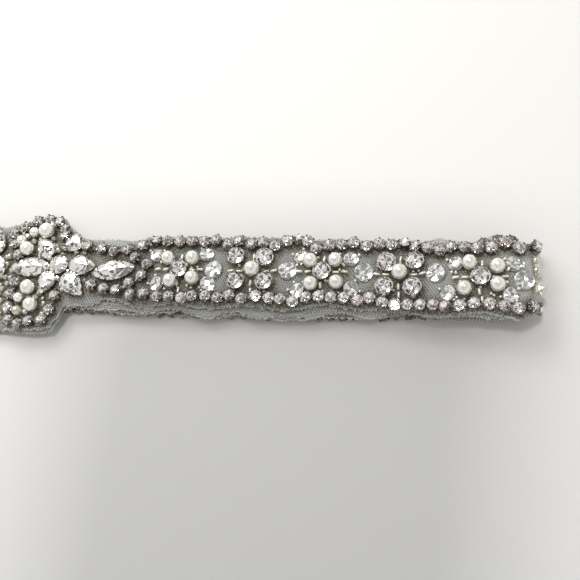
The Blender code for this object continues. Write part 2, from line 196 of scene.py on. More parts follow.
PEEPING = ((138.6, 8.9), (142.0, 9.7), (145.4, 9.4))
CUP_PITCH = 3.45

# Large crystals: name, s, y, length, width, turn in degrees, outline.
GEMS = (("navette_1", 12.1, -0.4, 12.2, 5.8, 2, "navette"),
        ("crystal_round", 20.6, 0.5, 5.7, 5.7, 0, "round"),
        ("pear_1", 28.1, 0.4, 8.2, 5.9, -3, "pear"),
        ("pear_2", 26.0, -5.4, 9.0, 6.0, -42, "pear"),
        ("pear_3", 17.5, -5.2, 7.4, 5.2, -110, "pear"),
        ("pear_4", 15.2, 5.9, 7.6, 5.8, 128, "pear"),
        ("pear_5", 23.2, 6.9, 7.2, 5.6, 206, "pear"),
        ("navette_2", 37.5, -0.8, 12.8, 5.7, 10, "navette"))
MIDDLE_GEMS = (("crystal_middle", 0.0, -1.2, 8.4, 8.4, 0, "round"),
               ("pear_middle_back", 0.0, 7.5, 7.8, 5.0, 90, "pear"),
               ("pear_middle_front", 0.0, -10.0, 7.8, 5.0, -90, "pear"))

# Pearls on the wings: s, y, radius.
PEARLS_BACK = ((10.1, 5.2, 2.0), (7.6, 8.0, 1.5), (10.9, 10.6, 1.5), (15.0, 10.8, 2.2))
PEARLS_FRONT = ((12.9, -6.6, 2.05), (10.3, -9.6, 1.45), (14.4, -11.7, 2.0))
GLASS_BEADS = ((10.4, -13.2, 1.5), (27.9, 6.1, 1.3), (16.4, 14.0, 1.3))

# Motifs along the arm: the middle, then its four pearls or crystals, then four petals.
FLOWERS = (((56.6, 0.1), ((53.3, 3.0), (60.4, 3.3), (54.7, -3.7), (60.9, -2.5)),
            ((49.3, 4.4), (63.8, 4.9), (50.4, -4.0), (65.1, -3.6))),
           ((96.6, 0.4), ((93.2, 3.1), (100.1, 3.5), (94.0, -3.3), (100.8, -2.8)),
            ((90.5, 4.7), (104.0, 4.4), (90.2, -4.9), (104.6, -4.0))),
           ((138.0, -1.0), ((135.3, 2.6), (142.2, 1.6), (134.2, -4.2), (142.3, -3.4)),
            ((131.6, 3.0), (146.0, 2.8), (130.0, -5.0), (145.4, -5.6))))
DIAMONDS = (((77.3, 0.0), ((72.5, 4.2), (80.4, 4.2), (73.1, -3.1), (81.1, -2.9))),
            ((117.1, 0.0), ((113.5, 3.6), (121.1, 3.6), (113.4, -3.4), (120.9, -3.4))))
DISCS = ((66.3, 0.5), (87.1, 0.7), (107.7, 0.7), (126.6, 0.6), (148.6, -1.6))
FOLD_BEADS = ((151.4, 4.2, 1.0), (151.7, 2.9, 1.25), (151.9, 1.4, 0.95), (152.7, 0.2, 0.85),
              (152.3, -1.5, 0.7), (151.6, -4.0, 1.8))
print(len(GEMS), "large crystals,", len(FLOWERS), "flowers and", len(DIAMONDS), "diamonds on each half")

# %% [markdown]
# ## The outlines of the cloth
#
# Four layers of tulle show their edges: the top net, its lining, and the two lower ones that peep out
# along the front. Scissors wander, so each outline is a few marks joined by smooth steps with a slow sine
# added. I could draw them as curve objects, but a function of s answers "how wide is it here?" at once,
# and the sheets, their frayed margins and the beads all ask that.

# %% The edges of the sheets
LOWER_FRONT = ((10, -9.8), (22, -10.4), (31, -10.9), (43, -12.0), (57, -10.9), (66, -12.6), (73, -11.0),
               (80, -12.0), (91, -11.8), (99, -10.9), (110, -10.8), (120, -9.4), (132, -10.4),
               (140, -10.2), (148, -9.6))
LINING_REACH = ((40, 0.6), (52, 1.5), (95, 1.5), (112, 0.1), (133, -0.2), (141, 0.8), (150, 0.2))
LOWER_BACK = ((10, 9.6), (35, 10.0), (44, 9.2), (60, 9.8), (80, 9.2), (100, 9.6), (118, 9.8), (127, 11.8),
              (134, 10.6), (141, 12.6), (146, 12.8), (150, 9.0))


def top_back(s):
    """The back edge of the top net; the next seven say the other edges in the same way."""
    return along(BACK_EDGE, abs(s)) + 0.25 * math.sin(abs(s) * 0.45)


def top_front(s):
    trimmed = 0.7 if 50 < abs(s) < FOLD_S - 2 else 0.0
    return along(FRONT_EDGE, abs(s)) + trimmed - 0.45 * math.sin(abs(s) * 0.31) * eased(abs(s) / 40)


def lining_back(s):
    return top_back(s) - 0.3 + 0.6 * math.sin(abs(s) * 0.31)


def lining_front(s):
    return top_front(s) - along(LINING_REACH, abs(s)) + 0.5 * math.sin(abs(s) * 0.27)


def lower_back(s):
    return along(LOWER_BACK, path(abs(s))[0]) - side_shift(abs(s))


def lower_front(s):
    return along(LOWER_FRONT, path(abs(s))[0]) - side_shift(abs(s))


def lower_lining_back(s):
    return lower_back(s) - 0.8 + 0.5 * math.sin(abs(s) * 0.33)


def lower_lining_front(s):
    return lower_front(s) + 0.5 + 0.5 * math.sin(abs(s) * 0.41)


print("the belt is", round(top_back(60) - top_front(60), 1), "mm wide on its arms")

# %% [markdown]
# ## A few helpers
#
# Every piece ends as a mesh on an object, and every finish as a chain of nodes. Both take the same few
# lines each time, so they are written once here. A node's input may be a number or another node's socket,
# and the helpers accept either, which keeps the finishes below readable.


# %% Mesh and node helpers
def mesh_from(bm, name):
    """The finished mesh of a bmesh, which is freed."""
    mesh = bpy.data.meshes.new(name)
    bm.to_mesh(mesh)
    bm.free()
    return mesh


def piece_from(mesh):
    """An object of the same name as its mesh, linked at the origin."""
    piece = bpy.data.objects.new(mesh.name, mesh)
    bpy.context.collection.objects.link(piece)
    return piece


def new_material(name):
    """An empty material: its nodes, links, Principled shader and name."""
    material = bpy.data.materials.new(name)
    material.use_nodes = True
    tree = material.node_tree
    return material, tree.nodes, tree.links, tree.nodes["Principled BSDF"]


def math_node(nodes, links, operation, first, second=None):
    """A Math node; each input is a number or a socket."""
    node = nodes.new("ShaderNodeMath")
    node.operation = operation
    for socket, value in zip(node.inputs, (first, second)):
        if isinstance(value, (int, float)):
            socket.default_value = value
        elif value is not None:
            links.new(value, socket)
    return node.outputs["Value"]


def multiply(nodes, links, first, second):
    """The product of two numbers or sockets."""
    return math_node(nodes, links, "MULTIPLY", first, second)


def vector_node(nodes, links, operation, first, second=None):
    """A Vector Math node; each input is a tuple or a socket."""
    node = nodes.new("ShaderNodeVectorMath")
    node.operation = operation
    for socket, value in zip(node.inputs, (first, second)):
        if isinstance(value, tuple):
            socket.default_value = value
        elif value is not None:
            links.new(value, socket)
    return node


def attribute(nodes, name):
    """A number that the mesh carries at its points."""
    node = nodes.new("ShaderNodeAttribute")
    node.attribute_name = name
    return node.outputs["Fac"]


def mix_colours(nodes, links, share, first, second):
    """A Mix node between two colours; each is an RGB tuple or a socket."""
    node = nodes.new("ShaderNodeMix")
    node.data_type = "RGBA"
    links.new(share, node.inputs["Factor"])
    for socket, value in ((node.inputs["A"], first), (node.inputs["B"], second)):
        if isinstance(value, tuple):
            socket.default_value = (*value, 1.0)
        else:
            links.new(value, socket)
    return node.outputs["Result"]


def noise_value(nodes, links, vector, scale, detail=2.0):
    """A soft noise from 0 to 1 over the given coordinates."""
    node = nodes.new("ShaderNodeTexNoise")
    node.inputs["Scale"].default_value = scale
    node.inputs["Detail"].default_value = detail
    links.new(vector, node.inputs["Vector"])
    return node.outputs["Fac"]


def ranged(nodes, links, value, low, high, to_low=0.0, to_high=1.0):
    """A Map Range node that clamps."""
    node = nodes.new("ShaderNodeMapRange")
    links.new(value, node.inputs["Value"])
    node.inputs["From Min"].default_value = low
    node.inputs["From Max"].default_value = high
    node.inputs["To Min"].default_value = to_low
    node.inputs["To Max"].default_value = to_high
    return node.outputs["Result"]


# %% [markdown]
# ## The tulle finish
#
# Tulle is a net of six-sided holes less than a millimetre wide, and this belt has several layers of it.
# The finish could be an image, but three cosines at 60 degrees to each other already add up to a perfect
# honeycomb. The node group below does that once, and every cloth uses it twice: once for the layer on
# top and once, turned, for the layer seen through its holes. "Pull" stretches the holes along one way,
# as a net does under tension.


# %% The honeycomb group
def honeycomb_group():
    """Mask of a hexagonal net's threads: 1 on a thread and 0 in a hole."""
    group = bpy.data.node_groups.new("honeycomb_net", "ShaderNodeTree")
    group.interface.new_socket("Vector", in_out="INPUT", socket_type="NodeSocketVector")
    for name, usual in (("Cell", 0.75), ("Turn", 0.0), ("Pull", 0.3)):
        socket = group.interface.new_socket(name, in_out="INPUT", socket_type="NodeSocketFloat")
        socket.default_value = usual
    group.interface.new_socket("Thread", in_out="OUTPUT", socket_type="NodeSocketFloat")
    nodes, links = group.nodes, group.links
    entry = nodes.new("NodeGroupInput")
    leave = nodes.new("NodeGroupOutput")
    turned = nodes.new("ShaderNodeVectorRotate")
    turned.rotation_type = "Z_AXIS"
    links.new(entry.outputs["Vector"], turned.inputs["Vector"])
    links.new(entry.outputs["Turn"], turned.inputs["Angle"])
    wave_number = math_node(nodes, links, "DIVIDE", 4 * math.pi / math.sqrt(3), entry.outputs["Cell"])
    along_pull = math_node(nodes, links, "ADD", 1.0, entry.outputs["Pull"])
    other_pull = math_node(nodes, links, "SUBTRACT", 1.5, multiply(nodes, links, 0.5, along_pull))
    total = None
    for third in range(3):
        angle = math.radians(60 * third)
        way = (math.cos(angle), math.sin(angle), 0)
        dot = vector_node(nodes, links, "DOT_PRODUCT", turned.outputs["Vector"], way)
        wave = math_node(nodes, links, "COSINE", multiply(nodes, links, dot.outputs["Value"], wave_number))
        wave = multiply(nodes, links, wave, other_pull if third else along_pull)
        total = wave if total is None else math_node(nodes, links, "ADD", total, wave)
    links.new(ranged(nodes, links, total, 0.9, -0.3), leave.inputs["Thread"])
    return group


honeycomb = honeycomb_group()

# %% [markdown]
# ## The net's colours
#
# The flat coordinates are the UV map, so the honeycomb follows the cloth round the fold. The layer seen in
# the holes is painted darker, as shade under the top net. Three numbers at the mesh's points steer the rest:
# "sewn" pulls the net round each bead and paints it dark olive there as shade, broken by pale thread with
# painted highlights; "margin" makes its loose edge fuzzy with dark specks and painted highlights; "shade"
# paints shade on a lower layer close to the edge of the one above it. The lifted end of the arm is paler,
# because light reaches it from below as well.


# %% The net's material
def net_material(name, light, thread_and_highlight):
    """Layered tulle: pale threads, a turned second layer painted darker in the holes, painted shade round
    beads.
    """

    def toned(share):
        """The light colour, made darker or brighter."""
        return tuple(share * channel for channel in light)

    material, nodes, links, shader = new_material(name)
    place = nodes.new("ShaderNodeUVMap")
    place.uv_map = "belt"
    belt = place.outputs["UV"]
    threads = []
    # Width of a hole in millimetres, turn in radians and pull: the layer on top, then the one below it.
    for cell, turn, pull in ((0.76, 0.70, 0.35), (0.80, -0.62, 0.5)):
        layer = nodes.new("ShaderNodeGroup")
        layer.node_tree = honeycomb
        for socket, value in (("Cell", cell), ("Turn", turn), ("Pull", pull)):
            layer.inputs[socket].default_value = value
        links.new(belt, layer.inputs["Vector"])
        threads.append(layer.outputs["Thread"])
    swap = ranged(nodes, links, noise_value(nodes, links, belt, 0.09), 0.45, 0.55)
    upper = nodes.new("ShaderNodeMix")
    links.new(swap, upper.inputs["Factor"])
    links.new(threads[0], upper.inputs["A"])
    links.new(threads[1], upper.inputs["B"])
    thread = upper.outputs["Result"]
    # Painted shade: the holes show a darker tone, as the layer below lies in the shade of the top net.
    below = mix_colours(nodes, links, multiply(nodes, links, *threads), toned(0.40), toned(0.70))
    cloth = mix_colours(nodes, links, thread, below, light)
    # The margin's bright specks are painted highlights on the loose thread ends, set among darker specks.
    fuzz = ranged(nodes, links, noise_value(nodes, links, belt, 2.3, 3.0), 0.36, 0.64)
    fuzzy = mix_colours(nodes, links, fuzz, toned(0.40), toned(1.35))
    cloth = mix_colours(nodes, links, multiply(nodes, links, attribute(nodes, "margin"), 0.55), cloth, fuzzy)
    parts = nodes.new("ShaderNodeSeparateXYZ")
    links.new(belt, parts.inputs["Vector"])
    distance = math_node(nodes, links, "ABSOLUTE", parts.outputs["X"])
    lifted = ranged(nodes, links, distance, 112, 150, 0.0, 0.55)
    cloth = mix_colours(nodes, links, lifted, cloth, mix_colours(nodes, links, thread, light, toned(1.45)))
    # Painted shade: round each bead the net turns dark olive, broken by pale thread colour with painted
    # highlights.
    sewn = attribute(nodes, "sewn")
    pulled = ranged(nodes, links, noise_value(nodes, links, belt, 1.5), 0.47, 0.66)
    bead_shade_and_thread = mix_colours(nodes, links, pulled, (0.10, 0.085, 0.05), thread_and_highlight)
    cloth = mix_colours(nodes, links, multiply(nodes, links, sewn, 0.9), cloth, bead_shade_and_thread)
    # Painted shade: a lower layer is greyed close to the edge of the layer above it.
    painted_shade = multiply(nodes, links, attribute(nodes, "shade"), 0.75)
    cloth = mix_colours(nodes, links, painted_shade, cloth, toned(0.25))
    links.new(cloth, shader.inputs["Base Color"])
    shader.inputs["Roughness"].default_value = 0.7
    shader.inputs["Sheen Weight"].default_value = 0.2
    relief = nodes.new("ShaderNodeBump")
    relief.inputs["Strength"].default_value = 0.8
    relief.inputs["Distance"].default_value = 0.0002
    tangle = multiply(nodes, links, pulled, sewn)
    links.new(math_node(nodes, links, "ADD", thread, tangle), relief.inputs["Height"])
    links.new(relief.outputs["Normal"], shader.inputs["Normal"])
    return material


tulle = net_material("tulle", (0.42, 0.43, 0.41), (0.50, 0.47, 0.36))
# The cut edge's paler colour is a painted highlight along the frayed thread ends.
cut_tulle = net_material("tulle_cut_edge", (0.58, 0.57, 0.53), (0.50, 0.46, 0.38))
print("tulle built on the honeycomb group")

# %% [markdown]
# ## Crystal, foil, metal, pearl
#
# A rhinestone is a clear cut stone with a mirror foil on its back. I could fake the sparkle with a
# picture, but real facets do it better: on the small stones the crown faces are clear glass, the pavilion
# faces are metal, and light goes in through one and comes back off the other. In a wide shallow stone
# that light is trapped at the rim and leaves it black, so the large ones are silvered all over instead,
# and small leaning cells in their normal stand for the back facets. Each stone carries its own random
# number in an attribute called `chance`, which tints it a little pink or clear.


# %% Glass and foil
def tint(nodes, links, clear, tinted):
    """A colour between two, picked by the stone's or bead's own number."""
    return mix_colours(nodes, links, attribute(nodes, "chance"), clear, tinted)


def glass_material(name, clear, tinted):
    """Clear cut glass, faintly tinted stone by stone."""
    material, nodes, links, shader = new_material(name)
    links.new(tint(nodes, links, clear, tinted), shader.inputs["Base Color"])
    shader.inputs["Transmission Weight"].default_value = 1.0
    shader.inputs["IOR"].default_value = 1.58
    shader.inputs["Roughness"].default_value = 0.0
    return material


def bead_glass_material():
    """Pale champagne glass for the loose beads, half silvered inside."""
    material, nodes, links, shader = new_material("champagne_glass")
    links.new(tint(nodes, links, (0.96, 0.94, 0.86), (0.89, 0.86, 0.73)), shader.inputs["Base Color"])
    shader.inputs["Transmission Weight"].default_value = 0.6
    shader.inputs["Metallic"].default_value = 0.35
    shader.inputs["Roughness"].default_value = 0.04
    return material


def shard_normals(nodes, links, vector, size, tilt):
    """A normal that leans its own way in each small cell, like back facets seen through a crystal."""
    cells = nodes.new("ShaderNodeTexVoronoi")
    cells.inputs["Scale"].default_value = 1 / size
    links.new(vector, cells.inputs["Vector"])
    face = nodes.new("ShaderNodeNewGeometry")
    centred = vector_node(nodes, links, "SUBTRACT", cells.outputs["Color"], (0.5, 0.5, 0.5))
    lean = vector_node(nodes, links, "MULTIPLY", centred.outputs["Vector"], (tilt, tilt, tilt))
    leaned = vector_node(nodes, links, "ADD", lean.outputs["Vector"], face.outputs["Normal"])
    return vector_node(nodes, links, "NORMALIZE", leaned.outputs["Vector"]).outputs["Vector"]


def foil_material(name, silver, tinted, blur, metallic=1.0, tilt=0.0):
    """The mirror of a stone, with the fine scratches of a dipped foil."""
    material, nodes, links, shader = new_material(name)
    place = nodes.new("ShaderNodeTexCoord").outputs["Object"]
    scratch = noise_value(nodes, links, place, 2500.0)
    share = ranged(nodes, links, attribute(nodes, "chance"), 0.25, 0.95)
    links.new(mix_colours(nodes, links, share, silver, tinted), shader.inputs["Base Color"])
    links.new(ranged(nodes, links, scratch, 0.3, 0.7, blur, blur + 0.05), shader.inputs["Roughness"])
    shader.inputs["Metallic"].default_value = metallic
    if tilt:
        links.new(shard_normals(nodes, links, place, 1.1 * MM, tilt), shader.inputs["Normal"])
    return material


# %% [markdown]
# ## Metal and pearl
#
# The cups are thin plated brass that has gone brown in its corners. One noise drives both its colour and
# its gloss, so the rubbed spots are bright and shiny together. A bead pearl is a dipped ball. Its lustre
# is a mix of mirror and chalk under a clear coat, with a darker rim painted as shade from Layer Weight.


# %% Metal, pearl and lined beads
def worn_metal(name, dark, bright):
    """Plated cup metal that has darkened in its corners and stays bright where it is rubbed."""
    material, nodes, links, shader = new_material(name)
    place = nodes.new("ShaderNodeTexCoord").outputs["Object"]
    patches = noise_value(nodes, links, place, 900.0, 3.0)
    rubbed = ranged(nodes, links, patches, 0.42, 0.68)
    links.new(mix_colours(nodes, links, rubbed, dark, bright), shader.inputs["Base Color"])
    links.new(ranged(nodes, links, patches, 0.3, 0.7, 0.45, 0.22), shader.inputs["Roughness"])
    shader.inputs["Metallic"].default_value = 1.0
    return material


def pearl_material():
    """Nacre: a warm cream body, painted darker and greener toward its rim as shade, under a glossy coat."""
    material, nodes, links, shader = new_material("pearl_lustre")
    place = nodes.new("ShaderNodeTexCoord").outputs["Object"]
    clouds = noise_value(nodes, links, place, 260.0)
    body = mix_colours(nodes, links, clouds, (0.98, 0.98, 0.93), (0.91, 0.92, 0.85))
    # Painted shade: the base colour darkens and greens toward the rim.
    facing = nodes.new("ShaderNodeLayerWeight")
    facing.inputs["Blend"].default_value = 0.35
    rim = ranged(nodes, links, facing.outputs["Facing"], 0.15, 0.9)
    links.new(mix_colours(nodes, links, rim, body, (0.80, 0.79, 0.69)), shader.inputs["Base Color"])
    shader.inputs["Roughness"].default_value = 0.24
    shader.inputs["Metallic"].default_value = 0.58
    shader.inputs["Coat Weight"].default_value = 0.8
    shader.inputs["Coat Roughness"].default_value = 0.10
    shader.inputs["Coat IOR"].default_value = 1.6
    return material


def bead_material():
    """Silver-lined bugle glass: pale champagne, bright inside."""
    material, nodes, links, shader = new_material("silver_lined_bead")
    links.new(tint(nodes, links, (1.0, 0.97, 0.88), (0.95, 0.88, 0.70)), shader.inputs["Base Color"])
    shader.inputs["Metallic"].default_value = 0.35
    shader.inputs["Roughness"].default_value = 0.22
    shader.inputs["Coat Weight"].default_value = 1.0
    return material


crystal_glass = glass_material("crystal_glass", (1.0, 1.0, 1.0), (0.99, 0.96, 0.96))
crystal_foil = foil_material("crystal_foil", (0.98, 0.975, 0.96), (0.96, 0.91, 0.90), 0.01)
champagne_glass = bead_glass_material()
silvered = foil_material("silvered_crystal", (0.86, 0.86, 0.82), (0.80, 0.76, 0.72), 0.02, tilt=0.26)
frosted_foil = foil_material("frosted_foil", (0.98, 0.98, 0.97), (0.94, 0.95, 0.92), 0.03, 0.78)
cup_metal = worn_metal("cup_metal", (0.13, 0.105, 0.085), (0.58, 0.52, 0.46))
bright_metal = worn_metal("setting_metal", (0.24, 0.20, 0.15), (0.66, 0.61, 0.53))
nacre = pearl_material()
bugle_glass = bead_material()
print(len(bpy.data.materials), "materials so far")

# %% [markdown]
# ## Cutting one stone
#
# A cut stone is the simplest solid that holds its corners: if I mark the corners of the table, the girdle
# and the point, a convex hull lays the facets by itself, as a cutter's wheel would. One recipe then makes
# round stones, navettes and pears, because only the girdle's outline changes. Round stones get a flat
# table, and the large ones rise to a crooked ridge, so that no two of their facets face the same way. The
# facets that look down belong to the foil.


# %% Outlines and stones
TABLE_SHARE = 0.54
FLOOR_SHARE = 0.82


def girdle_corner(kind, length, width, a):
    """The girdle at one angle: round, a navette pointed at both ends, or a pear pointed at +X."""
    squeeze = {"round": 1.0, "navette": abs(math.sin(a)) ** 0.6, "pear": 1.3 * abs(math.sin(a / 2))}[kind]
    return Vector((length / 2 * math.cos(a), width / 2 * math.sin(a) * squeeze, 0))


def outline(kind, length, width, count):
    """Corners of a whole girdle."""
    return [girdle_corner(kind, length, width, 2 * math.pi * i / count) for i in range(count)]


def give_back_to_foil(bm, downward):
    """Merge flat facets, then give those that look down by this much to the second material."""
    bmesh.ops.dissolve_limit(bm, angle_limit=math.radians(1.0), verts=bm.verts[:], edges=bm.edges[:])
    bm.normal_update()
    for face in bm.faces:
        face.material_index = 1 if face.normal.z < -downward else 0


def cut_stone(name, kind, length, width, count, girdle, crown, pavilion, shoulder=(0.80, 0.66), ridge=()):
    """A faceted stone with its girdle at the given height: a flat table on top, or a crooked ridge."""
    bm = bmesh.new()
    rim = outline(kind, length, width, count)
    middle = sum(rim, Vector()) / count
    turned = outline(kind, length, width, 2 * count)[1::2]
    for corner in rim:
        bm.verts.new(corner + Vector((0, 0, girdle)))
    for corner in turned:
        bm.verts.new(middle + (corner - middle) * shoulder[0] + Vector((0, 0, girdle + crown * shoulder[1])))
    if ridge:
        top = [middle + Vector((x * length, y * width, 0)) for x, y in ridge]
    else:
        top = [middle + (corner - middle) * TABLE_SHARE for corner in rim]
    for corner in top:
        bm.verts.new(corner + Vector((0, 0, girdle + crown)))
    if kind == "round":
        keel = [Vector((0, 0, 0))]
    else:
        spots = ((-0.26, 0.0), (-0.1, 0.05), (0.1, -0.05), (0.26, 0.0))
        keel = [middle + Vector((x * length, y * width, 0)) for x, y in spots]
    for corner in keel:
        bm.verts.new(corner + Vector((0, 0, girdle - pavilion)))
    bmesh.ops.convex_hull(bm, input=bm.verts[:])
    give_back_to_foil(bm, 0.05)
    return mesh_from(bm, name)


def add_prong(bm, at, inward, height):
    """One small claw: a block that leans in over the stone's edge."""
    claw = bmesh.ops.create_cube(bm, size=1.0)["verts"]
    lean = Matrix.Translation(at) @ Matrix.Rotation(inward, 4, "Z") @ Matrix.Rotation(-0.55, 4, "Y")
    bmesh.ops.transform(bm, verts=claw, matrix=lean @ Matrix.Diagonal((0.24, 0.36, height, 1)))


def setting(name, kind, length, width, count, depth, prongs):
    """The metal cup of a stone: a floor, a flared wall and claws at the given turns."""
    bm = bmesh.new()
    rim = outline(kind, length, width, count)
    middle = sum(rim, Vector()) / count
    full = max((c - middle).length for c in rim)
    floor = bm.faces.new([bm.verts.new(middle + (c - middle) * FLOOR_SHARE) for c in rim])
    face = floor
    # Up the outside of the wall, over its lip, and down inside to the seat of the stone.
    for scale, height in ((1.02, depth - 0.15), (0.97, depth - 0.15), (0.90, depth * 0.5)):
        bmesh.ops.recalc_face_normals(bm, faces=bm.faces[:])
        old = [v.co.copy() for v in face.verts]
        raised = bmesh.ops.extrude_face_region(bm, geom=[face])["geom"]
        if face is not floor:
            bmesh.ops.delete(bm, geom=[face], context="FACES_ONLY")
        face = next(item for item in raised if isinstance(item, bmesh.types.BMFace))
        reach = max((c - middle).length for c in old)
        for vertex in face.verts:
            level = Vector((vertex.co.x, vertex.co.y, 0))
            vertex.co = middle + (level - middle) * (scale * full / reach)
            vertex.co.z = height
    for turn in prongs:
        edge = girdle_corner(kind, length, width, math.radians(turn)) + Vector((0, 0, depth + 0.12))
        add_prong(bm, edge, math.atan2(edge.y, edge.x), 0.75)
    bmesh.ops.recalc_face_normals(bm, faces=bm.faces[:])
    return mesh_from(bm, name)


# %% [markdown]
# ## Sewing on by the hundred
#
# Hundreds of equal cups could be instances, but the finished belt has to be plain meshes. So each place
# gets its own copy of a small mesh, moved there by its matrix, and the copies are gathered into one. The
# gatherer also writes each copy's random number.


# %% The gatherer
def gather(name, copies, materials, smooth=False):
    """One object from (mesh, matrix, chance) copies."""
    bm = bmesh.new()
    for mesh, matrix, chance in copies:
        copy = mesh.copy()
        number = copy.attributes.new("chance", "FLOAT", "POINT")
        number.data.foreach_set("value", [chance] * len(copy.vertices))
        copy.transform(matrix)
        bm.from_mesh(copy)
        bpy.data.meshes.remove(copy)
    joined = mesh_from(bm, name)
    for material in materials:
        joined.materials.append(material)
    if smooth:
        joined.shade_smooth()
    else:
        joined.shade_flat()
    print(f"{name}: {len(copies)} parts, {len(joined.polygons)} faces")
    return piece_from(joined)


def dress(piece, slot, *nodes):
    """The piece rides on the sash and stands for these solids; its slot is not used."""
    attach(piece, "root")
    if nodes:
        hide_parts(*nodes)
    return piece


SEWN = {}


def note_sewn(s, y, radius):
    """Remember a sewn place, in strips of belt, so that the net can be pulled and stained there."""
    for strip in range(int(s // 6) - 1, int(s // 6) + 2):
        SEWN.setdefault(strip, []).append((s, y, radius))


# %% [markdown]
# ## Cup chain
#
# Cup chain is bought by the metre: small round stones, each in a pressed metal cup with four claws, and a
# short bar from cup to cup. It is sewn down over the bars, so every cup sits a little crooked. The cups
# tip by a few degrees at random, and a few on the edge rows have rolled onto their sides, as sewn chain
# does where it is eased round a corner.

# %% Chain parts
HALVES = ((1, "right"), (-1, "left"))
FOUR_CLAWS = (45, 135, 225, 315)
STONE = 3.3
CUP_RADIUS = 1.7
HIDDEN_BAR = 1.8
stone_mesh = cut_stone("chain_stone", "round", STONE, STONE, 8, 1.65, 0.44, 0.58)
cup_mesh = setting("chain_cup", "round", STONE, STONE, 10, 1.65, FOUR_CLAWS)


def bar_mesh():
    """The link between two cups, one millimetre long until it is stretched to fit."""
    bm = bmesh.new()
    block = bmesh.ops.create_cube(bm, size=1.0)["verts"]
    bmesh.ops.transform(bm, verts=block, matrix=Matrix.Diagonal((1.0, 0.7, 0.35, 1)))
    return mesh_from(bm, "chain_bar")


link_mesh = bar_mesh()


def row_cups(line):
    """Cup middles through the marks of a row, spaced as near to one pitch as fits."""
    cups = [line[0]]
    for (s0, y0), (s1, y1) in zip(line, line[1:]):
        count = max(1, round(math.hypot(s1 - s0, y1 - y0) / CUP_PITCH))
        for i in range(1, count + 1):
            cups.append((s0 + (s1 - s0) * i / count, y0 + (y1 - y0) * i / count))
    return cups


def chain(name, cups, side, dice, rolled=(), lift=0.1):
    """One run of cup chain: stones in one mesh, metal in another."""
    stones = []
    metal = []
    for i, (s, y) in enumerate(cups):
        lean = dice.gauss(0, 0.10)
        lean_to = dice.uniform(0, 2 * math.pi)
        for spot, angle, toward in rolled:
            if abs(s - spot) < CUP_PITCH / 2:
                lean, lean_to = angle, toward
        note_sewn(side * s, y, CUP_RADIUS)
        nudge = dice.gauss(0, 0.12)
        place = seat(side * s, y + nudge, lift, dice.uniform(0, math.pi), lean, lean_to)
        chance = dice.random()
        stones.append((stone_mesh, place, chance))
        metal.append((cup_mesh, place, chance))
        if i + 1 < len(cups):
            ahead_s, ahead_y = cups[i + 1]
            gap = math.hypot(ahead_s - s, ahead_y - y)
            turn = math.atan2(ahead_y - y, side * (ahead_s - s))
            middle = seat(side * (s + ahead_s) / 2, (y + ahead_y) / 2, lift + 0.5, turn)
            stretch = Matrix.Diagonal((max(gap - HIDDEN_BAR, 0.6), 1, 1, 1))
            metal.append((link_mesh, middle @ stretch, chance))
    stones = gather(name + "_stones", stones, (crystal_glass, crystal_foil))
    metal = gather(name + "_cups", metal, (cup_metal,))
    return stones, metal


# %% [markdown]
# ## Stringing the rows
#
# Two rows edge the whole belt, two more edge each wing of the medallion, and a short loop closes the
# wing's tail. Under the fold the chain comes back along the lower run, pressed a little closer to the
# cloth. The lists of rolled cups give a place on the row, and in radians how far the cup has tipped and
# which way it went.

# %% String the chains
dice = random.Random(12)
ROLLED_BACK = ((29.0, 0.5, 2.4), (48.5, 0.6, 1.5), (89.0, 0.8, 1.5), (118.0, 0.5, 1.4), (151.2, 0.3, 2.8))
ROLLED_FRONT = ((153.6, 0.5, 3.1),)
for side, half in HALVES:
    runs = (("chain_back", row_cups(BACK_ROW), ROLLED_BACK),
            ("chain_front", row_cups(FRONT_ROW), ROLLED_FRONT),
            ("wing_chain_back", WING_BACK, ()), ("wing_chain_front", WING_FRONT, ()),
            ("tail_chain", TAIL_LOOP, ()))
    for name, cups, rolled in runs:
        stones, metal = chain(f"{name}_{half}", cups, side, dice, rolled)
        dress(stones, "cup_chain", f"{name}_{half}")
        dress(metal, "cup_chain")
    for piece in chain(f"peeping_chain_{half}", PEEPING, side, dice, lift=-1.5):
        dress(piece, "cup_chain")
    for name, line, y in (("lower_chain_back", BACK_ROW, 8.4), ("lower_chain_front", FRONT_ROW, -9.1)):
        s0, y0 = line[-1]
        cups = row_cups(((s0, y0), (s0 + 18, y), (END_S - 2, y)))[1:]
        for piece in chain(f"{name}_{half}", cups, side, dice, lift=0.04):
            dress(piece, "cup_chain")

# %% [markdown]
# ## The large crystals
#
# The medallion's big stones are set singly, each in a cup with its claws at the points. Their fronts are
# silvered facets: a low crown that climbs to the ridge of its kind, given below as shares of the stone's
# length and width. Each ridge wanders from side to side, so the facets flash one by one.

